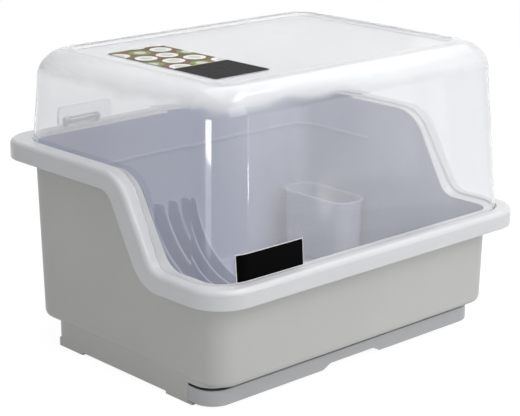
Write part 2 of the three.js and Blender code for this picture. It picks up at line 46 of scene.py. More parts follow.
cameraSetup = {
    "place": (-1.202, -1.2965, 0.6715),
    "yaw": 42.63,
    "pitch": 16.45,
    "roll": 0.13,
    "lens": 110.6,
    "sensor": 36,
    "near": 0.05,
    "far": 30,
}

plainWhite, warmWhite = (1, 1, 1), (1, 0.995, 0.985)
paleBlue, veilBlue = (0.93, 0.95, 1), (0.9, 0.93, 1)

lampSetup = {
    # name: (place, what it points at, width, height, watts, colour)
    "keySoftbox": ((0.1, -2.1, 1.35), (0, -0.1, 0.2), 2.2, 1.6, 24.5, warmWhite),
    "topSoftbox": ((0.5, -0.2, 1.75), (0.05, -0.05, 0.2), 2.2, 2.2, 15, plainWhite),
    "rimStrip": ((0.12, -0.36, 0.95), (0, -0.18, 0.16), 0.5, 0.2, 1.8, plainWhite),
    "backPanel": ((1.34, 0.78, 0.62), (0, 0, 0.34), 0.3, 0.5, 0.06, plainWhite),
    "leftFill": ((-1.8, -0.7, 1.5), (0, 0, 0.2), 1.2, 1.2, 0.9, plainWhite),
    # The rest are small, and show as streaks and veils in the lid's walls
    "lowStrip": ((-1.3, -0.36, 0.215), (-0.2, -0.15, 0.19), 0.34, 0.11, 1.3, plainWhite),
    "faintStrip": ((-1.3, -0.36, 0.08), (-0.2, -0.15, 0.1), 0.34, 0.16, 0.3, plainWhite),
    "thinStrip": ((0.128, -0.55, 0.163), (-0.187, -0.176, 0.25), 0.009, 0.045, 0.045, plainWhite),
    "thinLine": ((0.128, -0.55, 0.2), (-0.187, -0.176, 0.25), 0.008, 0.2, 0.02, plainWhite),
    "frontVeil": ((0.482, -0.625, 0.17), (0.06, -0.175, 0.2), 0.53, 0.3, 0.17, paleBlue),
    "midVeil": ((0.44, -0.625, 0.16), (-0.02, -0.175, 0.24), 0.26, 0.2, 0.07, veilBlue),
    "highVeil": ((0.43, -0.625, 0.175), (-0.03, -0.175, 0.25), 0.18, 0.14, 0.03, veilBlue),
}

stageSetup = {
    "floorSize": 9,
    "floorDrop": 0.2 * mm,
    "floorColour": (0.6, 0.6, 0.6),
    "floorWhiteShare": 0.78,
    "floorWhite": 1.21,
    "worldColour": (0.97, 0.985, 1),
    "worldStrength": 0.3,
    "clearBounces": 16,
}


def addObject(name, data):
    thing = bpy.data.objects.new(name, data)
    scene.collection.objects.link(thing)
    return thing


def aim(thing, place, target):
    thing.location = place
    thing.rotation_mode = "QUATERNION"
    thing.rotation_quaternion = (Vector(target) - Vector(place)).to_track_quat("-Z", "Y")


def makeCamera():
    lens = bpy.data.cameras.new("camera")
    lens.sensor_width = cameraSetup["sensor"]
    lens.lens = cameraSetup["lens"]
    lens.clip_start, lens.clip_end = cameraSetup["near"], cameraSetup["far"]
    camera = addObject("camera", lens)
    yaw, pitch = radians(cameraSetup["yaw"]), radians(cameraSetup["pitch"])
    level = cos(pitch)
    ahead = Vector((sin(yaw) * level, cos(yaw) * level, -sin(pitch)))
    place = Vector(cameraSetup["place"])
    aim(camera, place, place + ahead)
    camera.rotation_quaternion @= Quaternion((0, 0, 1), radians(cameraSetup["roll"]))
    scene.camera = camera


def makeLamps():
    for name, (place, target, width, height, watts, colour) in lampSetup.items():
        light = bpy.data.lights.new(name, "AREA")
        light.shape = "RECTANGLE"
        light.size, light.size_y = width, height
        light.energy = watts
        light.color = colour
        aim(addObject(name, light), place, target)


# Node helpers

def feed(tree, socket, value):
    if isinstance(value, bpy.types.NodeSocket):
        tree.links.new(value, socket)
    else:
        socket.default_value = (*value, 1) if socket.type == "RGBA" else value


def setInputs(tree, node, inputs):
    for name, value in inputs.items():
        feed(tree, node.inputs[name], value)
    return node


def addNode(tree, kind, inputs):
    return setInputs(tree, tree.nodes.new("ShaderNode" + kind), inputs)


def mathsIn(tree):
    def maths(operation, *values):
        node = tree.nodes.new("ShaderNodeMath")
        node.operation = operation
        return setInputs(tree, node, dict(enumerate(values))).outputs[0]
    return maths


def seenDirectly(tree):
    path = tree.nodes.new("ShaderNodeLightPath")
    seen = path.outputs["Is Camera Ray"]
    for other in ("Is Glossy Ray", "Is Transmission Ray"):
        seen = mathsIn(tree)("MAXIMUM", seen, path.outputs[other])
    return seen


def mixedShaders(tree, share, first, second, out):
    mix = addNode(tree, "MixShader", {0: share, 1: first.outputs[0], 2: second.outputs[0]})
    tree.links.new(mix.outputs[0], out.inputs["Surface"])


def mixedColour(tree, share, first, second):
    mix = tree.nodes.new("ShaderNodeMix")
    mix.data_type = "RGBA"
    return setInputs(tree, mix, {0: share, 6: first, 7: second}).outputs[2]


def mapped(tree, **change):
    coords = tree.nodes.new("ShaderNodeTexCoord").outputs["Object"]
    return addNode(tree, "Mapping", {"Vector": coords, **change}).outputs[0]


def noiseAt(tree, scale, detail, stretch=(1, 1, 1)):
    place = mapped(tree, Scale=stretch)
    noise = addNode(tree, "TexNoise", {"Vector": place, "Scale": scale, "Detail": detail})
    return noise.outputs["Fac"]


def ranged(tree, value, low, high, fromLow=0.3, fromHigh=0.7):
    return addNode(tree, "MapRange", {
        "Value": value, "From Min": fromLow, "From Max": fromHigh, "To Min": low, "To Max": high,
    }).outputs["Result"]


def mottled(tree, low, high, scale, detail, stretch=(1, 1, 1)):
    return ranged(tree, noiseAt(tree, scale, detail, stretch), low, high)


def addBump(tree, shader, *heights):
    under = {}
    for height, strength, distance in heights:
        bump = addNode(tree, "Bump", {"Height": height, "Strength": strength,
                                      "Distance": distance, **under})
        under = {"Normal": bump.outputs["Normal"]}
    setInputs(tree, shader, under)


def newFinish(name):
    finish = bpy.data.materials.new(name)
    finish.use_nodes = True
    return finish, finish.node_tree, finish.node_tree.nodes["Principled BSDF"]


def makeStage():
    bm = bmesh.new()
    bmesh.ops.create_grid(bm, x_segments=1, y_segments=1, size=stageSetup["floorSize"] / 2)
    bmesh.ops.translate(bm, verts=bm.verts, vec=(0, 0, -stageSetup["floorDrop"]))
    mesh = bpy.data.meshes.new("floor")
    bm.to_mesh(mesh)
    bm.free()
    floor = addObject("floor", mesh)

    paint = bpy.data.materials.new("paleFloor")
    paint.use_nodes = True
    tree = paint.node_tree
    tree.nodes.clear()
    matt = addNode(tree, "BsdfDiffuse", {"Color": stageSetup["floorColour"]})
    white = addNode(tree, "Emission", {"Strength": stageSetup["floorWhite"]})
    share = mathsIn(tree)("MULTIPLY", seenDirectly(tree), stageSetup["floorWhiteShare"])
    mixedShaders(tree, share, matt, white, tree.nodes.new("ShaderNodeOutputMaterial"))
    mesh.materials.append(paint)

    world = bpy.data.worlds.new("studio")
    scene.world = world
    world.use_nodes = True
    tree = world.node_tree
    tree.nodes.clear()
    light = addNode(tree, "Background", {"Color": stageSetup["worldColour"],
                                         "Strength": stageSetup["worldStrength"]})
    backdrop = addNode(tree, "Background", {"Color": plainWhite})
    out = tree.nodes.new("ShaderNodeOutputWorld")
    mixedShaders(tree, seenDirectly(tree), light, backdrop, out)

    scene.view_settings.view_transform = "Standard"
    scene.cycles.transparent_max_bounces = stageSetup["clearBounces"]


# Finishes

mould = {
    "cloudScale": 9,
    "cloudShare": 0.02,
    "rubScale": 60,
    "sparkScale": 1800,
    "sparkDepth": 0.08 * mm,
    "swellScale": 12,
    "swellDepth": 0.6 * mm,
    "swell": 0.03,
    "milkDepth": 3 * mm,
}

clearSetup = {
    "ior": 1.46,
    "hazeScale": 7,
    "rubScale": 45,
    "swellScale": 18,
    "swellDepth": 0.4 * mm,
    "swell": 0.1,
}

lidBend = {
    # Less clear and duller, with an uneven edge, where the walls bend over to the top: the loss of
    # clearness there is a painted reflection of the light from above, the dullness is rougher
    # plastic
    "low": 315 * mm,
    "full": 324 * mm,
    "high": 338 * mm,
    "topShare": 0.5,
    "waveScale": 16,
    "wave": 26 * mm,
    # milk: how far the band's clearness drops, a painted reflection of the light from above
    "milk": 0.14,
    "dull": 0.18,
}


def mouldedPlastic(name, colour, roughness, grain=0.2, milk=0.0):
    finish, tree, shader = newFinish(name)
    pale = [channel * (1 + mould["cloudShare"]) for channel in colour]
    deep = [channel * (1 - mould["cloudShare"]) for channel in colour]
    clouds = mottled(tree, 0, 1, mould["cloudScale"], 3)
    rub = mottled(tree, roughness - 0.02, roughness + 0.03, mould["rubScale"], 4, (1, 1, 2.5))
    setInputs(tree, shader, {"Base Color": mixedColour(tree, clouds, deep, pale),
                             "Roughness": rub})
    spark = noiseAt(tree, mould["sparkScale"], 2)
    swell = noiseAt(tree, mould["swellScale"], 1)
    addBump(tree, shader, (spark, grain, mould["sparkDepth"]),
            (swell, mould["swell"], mould["swellDepth"]))
    if milk:
        setInputs(tree, shader, {"Subsurface Weight": milk, "Subsurface Radius": (1, 1, 1),
                                 "Subsurface Scale": mould["milkDepth"]})
    return finish


def clearPlastic(name, tint, haze, roughness, shade, bend=None):
    finish, tree, shader = newFinish(name)
    maths = mathsIn(tree)
    through = mottled(tree, 1 - haze * 1.25, 1 - haze * 0.75, clearSetup["hazeScale"], 2)
    dull = mottled(tree, roughness * 0.7, roughness * 1.3, clearSetup["rubScale"], 3, (1, 1, 3))
    if bend:
        coords = tree.nodes.new("ShaderNodeTexCoord").outputs["Object"]
        height = addNode(tree, "SeparateXYZ", {0: coords}).outputs[2]
        waves = noiseAt(tree, bend["waveScale"], 3, (1, 1, 0.5))
        uneven = maths("MULTIPLY_ADD", waves, bend["wave"], -bend["wave"] / 2)
        level = maths("ADD", height, uneven)
        rise = ranged(tree, level, 0, 1, bend["low"], bend["full"])
        fall = ranged(tree, height, 1, bend["topShare"], bend["full"], bend["high"])
        # The band round the bend loses clearness as a painted reflection of light from above, and
        # gets rougher
        paintedReflectionBand = maths("MULTIPLY", rise, fall)
        through = maths("MULTIPLY_ADD", paintedReflectionBand, -bend["milk"], through)
        dull = maths("MULTIPLY_ADD", paintedReflectionBand, bend["dull"], dull)
    setInputs(tree, shader, {"Base Color": tint, "IOR": clearSetup["ior"], "Roughness": dull,
                             "Transmission Weight": through})
    swell = noiseAt(tree, clearSetup["swellScale"], 1)
    addBump(tree, shader, (swell, clearSetup["swell"], clearSetup["swellDepth"]))

    # Light passes through to what is inside, with only a little shade
    lightThrough = addNode(tree, "BsdfTransparent", {"Color": shade})
    path = tree.nodes.new("ShaderNodeLightPath")
    softRay = maths("MAXIMUM", path.outputs["Is Shadow Ray"], path.outputs["Is Diffuse Ray"])
    mixedShaders(tree, softRay, shader, lightThrough, tree.nodes["Material Output"])
    return finish


def paperFinish(name, flecks, deep, pale, dull, specular=0.5):
    finish, tree, shader = newFinish(name)
    colour = mixedColour(tree, mottled(tree, 0, 1, *flecks), deep, pale)
    setInputs(tree, shader, {"Base Color": colour, "Roughness": mottled(tree, *dull),
                             "Specular IOR Level": specular})
    addBump(tree, shader, (noiseAt(tree, 900, 2), 0.1, 0.05 * mm))
    return finish


def edgeFinish():
    finish, tree, shader = newFinish("labelEdge")
    flecks = mottled(tree, 0, 1, 300, 2)
    colour = mixedColour(tree, flecks, (0.72, 0.72, 0.73), (0.82, 0.82, 0.83))
    setInputs(tree, shader, {"Base Color": colour, "Roughness": 0.4})
    return finish


bodyFinish = mouldedPlastic("bodyPlastic", (0.545, 0.548, 0.532), 0.42, milk=0.1)
rimFinish = mouldedPlastic("rimPlastic", (0.655, 0.66, 0.675), 0.16, grain=0.02, milk=0.35)
insideFinish = mouldedPlastic("insidePlastic", (0.372, 0.398, 0.51), 0.4, grain=0.01)
trayFinish = mouldedPlastic("trayPlastic", (0.49, 0.493, 0.508), 0.42, grain=0.1)
rackFinish = mouldedPlastic("rackPlastic", (0.45, 0.498, 0.665), 0.24, grain=0.02, milk=0.1)
holderFinish = mouldedPlastic("holderPlastic", (0.385, 0.41, 0.51), 0.3, grain=0.03, milk=0.1)
lidFinish = clearPlastic("lidPlastic", (0.94, 0.942, 0.95), 0.115, 0.045, (0.95, 0.952, 0.96),
                         bend=lidBend)
clipFinish = clearPlastic("clipPlastic", (0.98, 0.98, 0.985), 0.06, 0.1, (0.93, 0.935, 0.94))


# The tub's own sizes, which the other pieces follow

tub = {
    "length": 480 * mm,
    "depth": 378 * mm,
    "rimTop": 240 * mm,
    "rimCorner": 43 * mm,
    "overhang": 25 * mm,
    "rimThickness": 2.8 * mm,
    "skirt": 21 * mm,
    "skirtWall": 2.4 * mm,
    "skirtLip": 0.9 * mm,
    "rimEdge": 6 * mm,
    "slopeExtra": 5 * mm,
    "scoopDrop": 93 * mm,
    "scoopAngle": radians(60),
    "scoopFlat": 86.9 * mm,
    "scoopBend": 19 * mm,
    "scoopFoot": 25 * mm,
    "wall": 2.5 * mm,
    "corner": 25 * mm,
    "draft": 0.0175,
    "floorUnder": 28.5 * mm,
    "floorBend": 9 * mm,
    "seatDepth": 3 * mm,
    "seatGap": 1.5 * mm,
    "seatSoft": 0.7 * mm,
    "lidMargin": 19.5 * mm,
    "lidDraft": 0.062,
    "lidCorner": 41 * mm,
    "ledgeTop": 192 * mm,
    "ledgeHeight": 3 * mm,
    "ledgeReach": 1.6 * mm,
    "ledgeStart": 40 * mm,
}

cupBend, cupInnerBend = 3 * mm, 2.5 * mm
cornerSteps, scoopSteps, lidSteps = 18, 14, 24
roundSteps, filletSteps, smallSteps = 8, 6, 4
halfLength, halfDepth = tub["length"] / 2, tub["depth"] / 2
frontRim = tub["rimTop"] - tub["scoopDrop"]
floorTop = tub["floorUnder"] + tub["wall"]


def evenPlaces(first, last, count):
    return [first + (last - first) * i / (count - 1) for i in range(count)]


def arc(x, y, radius, start, end, steps):
    return [(x + radius * cos(angle), y + radius * sin(angle))
            for angle in evenPlaces(start, end, steps + 1)]


def rimHalf(inset):
    return lambda z: (halfLength - inset, halfDepth - inset)


def wallHalf(inset):
    def half(z):
        lean = (tub["rimTop"] - z) * tub["draft"] + tub["overhang"] + inset
        return halfLength - lean, halfDepth - lean
    return half


def lidHalf(inset):
    def half(z):
        lean = (z - tub["rimTop"]) * tub["lidDraft"] + tub["lidMargin"] + inset
        return halfLength - lean, halfDepth - lean
    return half


def scoopLine():
    # The rim's height and slope along an end, from the low front to the full height
    angle = tub["scoopAngle"]
    topBend = tub["scoopBend"] + tub["skirt"] + tub["slopeExtra"]
    bends = topBend + tub["scoopFoot"]
    run = (tub["scoopDrop"] - bends * (1 - cos(angle))) / sin(angle)
    foot = tub["scoopFlat"] - halfDepth
    top = foot + bends * sin(angle) + run * cos(angle)
    slopes = evenPlaces(0, angle, scoopSteps + 1)
    line = [(foot + tub["scoopFoot"] * sin(slope),
             frontRim + tub["scoopFoot"] * (1 - cos(slope)), slope) for slope in slopes]
    line += [(top - topBend * sin(slope), tub["rimTop"] - topBend * (1 - cos(slope)), slope)
             for slope in slopes[::-1]]
    ledge = tub["ledgeStart"]
    return [*line, (ledge, tub["rimTop"], 0), (ledge + 2 * mm, tub["rimTop"], 0)]


scoopPlaces = scoopLine()


def ringAround(half, corner, level=None, depth=0, extra=0, share=None, low=0, ledge=0):
    # One loop round the tub or lid: at a level, at a depth under the rim's line, or at a
    # share of the way from a low level up to that depth
    points = []

    def heightAt(rim):
        if share is not None:
            return low + (rim - depth - low) * share
        return rim - depth if level is None else level

    def addEnd(side, line):
        for y, rim, slope in line:
            z, away = heightAt(rim), 0
            if level is None and share is None:
                sunk = depth + extra * sin(slope) / sin(tub["scoopAngle"])
                z, away = rim - sunk * cos(slope), sunk * sin(slope)
            bulge = ledge if y > tub["ledgeStart"] + mm else 0
            points.append(Vector((side * (half(z)[0] - bulge), y + away, z)))

    def addCorner(sideX, sideY, start):
        z = heightAt(tub["rimTop"] if sideY > 0 else frontRim)
        bulge = ledge if sideY > 0 else 0
        halfX, halfY = (value - bulge for value in half(z))
        bend = arc(sideX * (halfX - corner), sideY * (halfY - corner), corner, start,
                   start + quarterTurn, cornerSteps)
        points.extend(Vector((x, y, z)) for x, y in bend)

    addEnd(1, scoopPlaces)
    addCorner(1, 1, 0)
    addCorner(-1, 1, quarterTurn)
    addEnd(-1, scoopPlaces[::-1])
    addCorner(-1, -1, pi)
    addCorner(1, -1, pi * 1.5)
    return points


def quarterRings(radius, steps, makeRing):
    return [makeRing(radius * (1 - cos(angle)), radius * (1 - sin(angle)))
            for angle in evenPlaces(0, quarterTurn, steps + 1)]


# Mesh helpers

def ofKind(items, kind):
    return [item for item in items if isinstance(item, kind)]


def growRings(bm, rings, finishes=None, closed=False):
    # Extrudes a loop from ring to ring, and closes it on itself or with a face at each end
    count = len(rings[0])
    finishes = finishes or [0] * len(rings)

    def edgesRound(loop):
        return [bm.edges.get((loop[i], loop[(i + 1) % count])) for i in range(count)]

    loop = bmesh.ops.create_circle(bm, segments=count, radius=1)["verts"]
    for vert, place in zip(loop, rings[0]):
        vert.co = place
    edges = edgesRound(loop)
    firstEdges, firstLoop = edges, loop
    for number, ring in enumerate(rings[1:]):
        grown = bmesh.ops.extrude_edge_only(bm, edges=edges)["geom"]
        fresh = set(ofKind(grown, BMVert))
        loop = [next(e.other_vert(vert) for e in vert.link_edges if e.other_vert(vert) in fresh)
                for vert in loop]
        for vert, place in zip(loop, ring):
            vert.co = place
        for face in ofKind(grown, BMFace):
            face.material_index = finishes[number]
        edges = edgesRound(loop)
    if closed:
        bmesh.ops.bridge_loops(bm, edges=firstEdges + edges)
    else:
        bm.faces.new(firstLoop).material_index = finishes[0]
        bm.faces.new(loop).material_index = finishes[-1]


def makePiece(name, bm, *finishes):
    bmesh.ops.remove_doubles(bm, verts=bm.verts, dist=0.001 * mm)
    bmesh.ops.recalc_face_normals(bm, faces=bm.faces)
    mesh = bpy.data.meshes.new(name)
    bm.to_mesh(mesh)
    bm.free()
    for finish in finishes:
        mesh.materials.append(finish)
    return addObject(name, mesh)


def grownPiece(name, rings, *finishes, parts=None, closed=False):
    bm = bmesh.new()
    growRings(bm, rings, parts, closed)
    return makePiece(name, bm, *finishes)


def carve(piece, other, operation="DIFFERENCE"):
    change = piece.modifiers.new("carve", "BOOLEAN")
    change.operation = operation
    change.solver = "EXACT"
    change.object = other
    depsgraph = bpy.context.evaluated_depsgraph_get()
    mesh = bpy.data.meshes.new_from_object(piece.evaluated_get(depsgraph))
    piece.modifiers.clear()
    old, piece.data = piece.data, mesh
    bpy.data.meshes.remove(old)
    mesh.name = piece.name
    bpy.data.objects.remove(other)


def smoothPiece(piece):
    sharpAngle = 32
    mesh = piece.data
    mesh.shade_smooth()
    mesh.set_sharp_from_angle(angle=radians(sharpAngle))
    even = piece.modifiers.new("evenShading", "WEIGHTED_NORMAL")
    even.mode = "FACE_AREA"
    even.weight = 50
    even.keep_sharp = True


def soften(bm, edges, size, segments):
    bmesh.ops.bevel(bm, geom=edges, offset=size, offset_type="OFFSET", segments=segments,
                    profile=0.5, affect="EDGES", material=-1)


def edgesAlong(verts, axis, above):
    edges = dict.fromkeys(e for v in verts for e in v.link_edges)
    return [e for e in edges if all(v.co.z > above for v in e.verts)
            and abs(e.verts[0].co[axis] - e.verts[1].co[axis]) > mm]


def boxBetween(bm, low, high):
    low, high = Vector(low), Vector(high)
    matrix = Matrix.Translation((low + high) / 2) @ Matrix.Diagonal((*(high - low), 1))
    return bmesh.ops.create_cube(bm, size=1, matrix=matrix)["verts"]


def pushedOut(bm, corners, move):
    face = bm.faces.new([bm.verts.new(corner) for corner in corners])
    grown = bmesh.ops.extrude_face_region(bm, geom=[face])["geom"]
    bmesh.ops.translate(bm, verts=ofKind(grown, BMVert), vec=move)


def addRod(bm, place, radius, length, segments, turn=Matrix()):
    bmesh.ops.create_cone(bm, cap_ends=True, segments=segments, radius1=radius, radius2=radius,
                          depth=length, matrix=Matrix.Translation(place) @ turn)


def plainRing(low, high, corner, z, inset=0, steps=cornerSteps, stations=()):
    # A rectangle with round corners, and with extra points at the stations on both sides
    low, high, corner = [v + inset for v in low], [v - inset for v in high], corner - inset
    points = []
    ends = ((high[0], high[1]), (low[0], high[1]), (low[0], low[1]), (high[0], low[1]))
    middle = ((low[0] + high[0]) / 2, (low[1] + high[1]) / 2)
    heightAt = z if callable(z) else (lambda x, y: z)
    for quarter, (x, y) in enumerate(ends):
        if quarter == 0:
            points += [(high[0], place) for place in stations]
        if quarter == 2:
            points += [(low[0], place) for place in reversed(stations)]
        points += arc(x - copysign(corner, x - middle[0]), y - copysign(corner, y - middle[1]),
                      corner, quarterTurn * quarter, quarterTurn * (quarter + 1), steps)
    return [Vector((x, y, heightAt(x, y))) for x, y in points]


def slotRing(low, high, z):
    slotSteps, nearlyRound = 5, 0.999
    return plainRing(low, high, (high[0] - low[0]) / 2 * nearlyRound, z, 0, slotSteps)


def slabRings(low, high, corner, bottom, top, soft):
    # A flat slab with its edges softened above and below
    return [plainRing(low, high, corner, z, inset, roundSteps) for inset, z in
            ((soft, bottom), (0, bottom + soft), (0, top - soft), (soft, top))]


def cupRings(ring, low, wall, between):
    # The outside from under the floor, what is between, and the inside down to the floor
    outside = quarterRings(cupBend, smallSteps, lambda drop, rise: ring(drop, low + rise))
    inside = quarterRings(cupInnerBend, smallSteps,
                          lambda drop, rise: ring(wall + drop, low + wall + rise))
    return [*outside[::-1], *between, *inside]


# Tub

base = {
    "step": 2.7 * mm,
    "wall": 2.5 * mm,
    "backInset": 25 * mm,
    "frontInset": 17.5 * mm,
    "corner": 25 * mm,
    "sunk": 1.0 * mm,
    "footHeight": 3 * mm,
    "footLength": 43 * mm,
    "footWidth": 12 * mm,
    "footOverlap": 0.6 * mm,
    "footInset": 0.15 * mm,
    "frontFootLead": 6 * mm,
    "backFootSet": 14 * mm,
    "fasciaWrap": 36 * mm,
    "fasciaHeight": 17.5 * mm,
    "groove": 3 * mm,
    "running": 0.5 * mm,
    "railTop": 12 * mm,
    "railWall": 2.2 * mm,
    "railGap": 0.4 * mm,
    "flangeWidth": 9 * mm,
    "flange": 2 * mm,
    "trayLead": 13 * mm,
    "trayTail": 5 * mm,
    "rest": 0.3 * mm,
    "drainWidth": 6 * mm,
    "drainColumns": 9,
    "drainRows": 3,
    "drainBar": 21.5 * mm,
    "drainMargin": 22 * mm,
}

outerX, outerY = wallHalf(0)(tub["floorUnder"])
baseX = outerX - base["step"]
baseFront = base["frontInset"] - outerY
baseBack = outerY - base["backInset"]
seamY = baseFront + base["fasciaWrap"]
fasciaLow = base["footHeight"] + base["running"]
fasciaHigh = fasciaLow + base["fasciaHeight"]
railInner = baseX - base["wall"] - base["flangeWidth"]
trayX = railInner - base["running"]
trayFront = baseFront + base["wall"] + base["trayLead"]
trayBack = baseBack - base["wall"] - base["trayTail"]
flatX, flatY = wallHalf(tub["floorBend"])(floorTop)

bodyPart, rimPart, insidePart = 0, 1, 2


def tubShell():
    wall, bend, seat, corner = tub["wall"], tub["floorBend"], tub["seatDepth"], tub["corner"]
    edge, skirtWall, skirt, lip = tub["rimEdge"], tub["skirtWall"], tub["skirt"], tub["skirtLip"]
    gap, soft, under = tub["seatGap"], tub["seatSoft"], tub["rimThickness"]
    rings, parts = [], []

    def add(part, *fresh):
        rings.extend(fresh)
        parts.extend([part] * len(fresh))

    def floorRings(inset, radius, level):
        def ring(drop, rise):
            half = lambda z: tuple(value - drop for value in wallHalf(inset)(z))
            return ringAround(half, corner - inset - drop, level=level + rise)
        return quarterRings(radius, roundSteps, ring)[::-1]

    def rimRing(inset, depth, extra=0):
        return ringAround(rimHalf(inset), tub["rimCorner"] - inset, depth=depth, extra=extra)

    # Outside, from under the floor up to the underside of the rim
    add(bodyPart, *floorRings(0, bend, tub["floorUnder"]))
    for share in (0.35, 0.7):
        add(bodyPart, ringAround(wallHalf(0), corner, depth=under, share=share,
                                 low=tub["floorUnder"] + bend))
    add(bodyPart, ringAround(wallHalf(0), corner, depth=under))

    # The rim's underside, its skirt and its rounded edge
    fillet = quarterRings(edge - skirtWall, filletSteps,
                          lambda inset, fall: rimRing(skirtWall + inset, under + fall))
    add(rimPart, *fillet[::-1])
    for inset, depth in ((skirtWall, skirt - lip), (skirtWall - lip * 0.35, skirt - lip * 0.3),
                         (skirtWall / 2, skirt), (lip * 0.35, skirt - lip * 0.3),
                         (0, skirt - lip)):
        add(rimPart, rimRing(inset, depth, tub["slopeExtra"]))
    add(rimPart, *quarterRings(edge, roundSteps, rimRing))

    # The lid's seat, and the inside wall with its ledge round the back
    for inset, depth in ((-gap - soft, 0), (-gap - soft * 0.3, soft * 0.3), (-gap, soft),
                         (-gap, seat)):
        add(rimPart, ringAround(lidHalf(inset), tub["lidCorner"] - inset, depth=depth))
    inner = corner - wall
    for inset, depth in ((-soft, seat), (-soft * 0.3, seat + soft * 0.3)):
        add(rimPart, ringAround(wallHalf(wall + inset), inner - inset, depth=depth))
    low = floorTop + bend - wall
    rise = tub["rimTop"] - seat - soft - low
    top = (tub["ledgeTop"] - low) / rise
    bottom = (tub["ledgeTop"] - tub["ledgeHeight"] - low) / rise
    reach = tub["ledgeReach"]
    for share, ledge in ((1, 0), (top, 0), (top, reach * 0.8), (top - 0.003, reach),
                         (bottom, reach), (bottom - 0.006, 0)):
        add(insidePart, ringAround(wallHalf(wall), inner, depth=seat + soft, low=low,
                                   share=share - 0.001 * (ledge > 0), ledge=ledge))
    add(insidePart, *floorRings(wall, bend - wall, floorTop)[::-1])
    return grownPiece("tub_shell", rings, bodyFinish, rimFinish, insideFinish, parts=parts[1:])


def undersideAt(x, y):
    corner, bend = tub["corner"], tub["floorBend"]
    awayX, awayY = abs(x) - (outerX - corner), abs(y) - (outerY - corner)
    away = hypot(awayX, awayY) if awayX > 0 and awayY > 0 else max(awayX, awayY)
    inset = min(max(corner - away, 0), bend)
    return tub["floorUnder"] + bend * (1 - sin(acos(1 - inset / bend)))


def baseRing(inset, z, stations=()):
    return plainRing((-baseX, baseFront), (baseX, baseBack), base["corner"], z, inset,
                     stations=stations)


def baseSkirt():
    # In front of the cut the skirt ends above the tray's front. The stations make the step.
    cut, soft, wall = seamY + base["running"], 0.5 * mm, base["wall"]
    stations = [cut - 0.05 * mm, cut]
    frontLow = fasciaHigh + base["groove"]
    lowOf = lambda x, y: base["footHeight"] if y >= cut - 0.01 * mm else frontLow
    softOf = lambda x, y: lowOf(x, y) + soft
    highOf = lambda x, y: undersideAt(x, y) + base["sunk"]
    rings = [baseRing(inset, height, stations) for inset, height in
             ((0, highOf), (0, softOf), (soft, lowOf), (wall - soft, lowOf), (wall, softOf),
              (wall, highOf))]
    return grownPiece("skirt", rings, bodyFinish, closed=True)


def footBlocks():
    bm = bmesh.new()
    frontLow = seamY - base["frontFootLead"]
    frontHigh = frontLow + base["footLength"]
    backHigh = baseBack - base["backFootSet"]
    backLow = backHigh - base["footLength"]
    low, top = base["footHeight"], base["railTop"] - base["railWall"] + base["footOverlap"]
    inset = base["footInset"]
    behind = seamY + base["running"] + inset
    front = [(frontLow, 0), (frontHigh, 0), (frontHigh, top), (behind, top), (behind, low),
             (frontLow, low)]
    back = [(backLow, 0), (backHigh, 0), (backHigh, top), (backLow, top)]
    for side in (-1, 1):
        near, far = sorted((side * (baseX - base["footWidth"]), side * (baseX - inset)))
        for outline in (front, back):
            pushedOut(bm, [(near, y, z) for y, z in outline], (far - near, 0, 0))
    edges = [e for e in bm.edges if all(v.co.z < 0.1 * mm for v in e.verts)]
    bmesh.ops.recalc_face_normals(bm, faces=bm.faces)
    soften(bm, edges, 0.5 * mm, 2)
    return makePiece("feet", bm, bodyFinish)


def trayRails():
    bm = bmesh.new()
    front, back = seamY + base["running"] + base["railGap"], baseBack - base["corner"]
    for side in (-1, 1):
        near, far = sorted((side * railInner, side * (baseX - base["wall"] / 2)))
        boxBetween(bm, (near, front, base["railTop"] - base["railWall"]),
                   (far, back, base["railTop"]))
    return makePiece("rails", bm, bodyFinish)


def drainCutters():
    bm = bmesh.new()
    margin = base["drainMargin"]
    front, back, end = trayFront + margin, trayBack - margin, trayX - margin
    rows, width = base["drainRows"], base["drainWidth"]
    length = (back - front - base["drainBar"] * (rows - 1)) / rows
    for x in evenPlaces(-end, end - width, base["drainColumns"]):
        for y in evenPlaces(front, back - length, rows):
            growRings(bm, [slotRing((x, y), (x + width, y + length), z)
                           for z in (tub["floorUnder"] - mm, floorTop + mm)])
    return makePiece("drainCutters", bm)


hinge = {
    "clipMargin": 54.5 * mm,
    "clipLength": 76 * mm,
    "clipHeight": 22 * mm,
    "clipWall": 2 * mm,
    "clipCorner": 5 * mm,
    "clipLift": 3 * mm,
    "knuckleLength": 40 * mm,
    "knuckleWall": 2 * mm,
    "knuckleSteps": 30,
    "mouth": 3.6 * mm,
    "arm": 2.6 * mm,
    "pinRadius": 2.2 * mm,
    "earRadius": 4 * mm,
    "earThickness": 4 * mm,
    "earGap": 1.2 * mm,
    "earRoot": 1.4 * mm,
    "earSteps": 9,
    "pinSteps": 32,
    "boreSteps": 40,
    "room": 2 * mm,
}
knuckleRadius = hinge["pinRadius"] + base["rest"] + hinge["knuckleWall"]
hingeZ = tub["rimTop"] + hinge["room"] + knuckleRadius
lidEndX, lidBackY = lidHalf(0)(tub["rimTop"])
hingeY = lidBackY + base["rest"] + hinge["clipWall"] + hinge["earGap"] + hinge["earRadius"]
clipCentre = lidEndX - hinge["clipMargin"] - hinge["clipLength"] / 2
alongHinge = Matrix.Rotation(quarterTurn, 4, "Y")


def hingeEars():
    bm = bmesh.new()
    radius = hinge["earRadius"]
    inner = hinge["knuckleLength"] / 2 + base["rest"]
    outer = inner + hinge["earThickness"]
    for centre in (-clipCentre, clipCentre):
        for low, high in ((centre - outer, centre - inner), (centre + inner, centre + outer)):
            verts = boxBetween(bm, (low, hingeY - radius, tub["rimTop"] - hinge["earRoot"]),
                               (high, hingeY + radius, hingeZ + radius))
            soften(bm, edgesAlong(verts, 0, hingeZ), radius * 0.995, hinge["earSteps"])
    return makePiece("ears", bm, rimFinish)


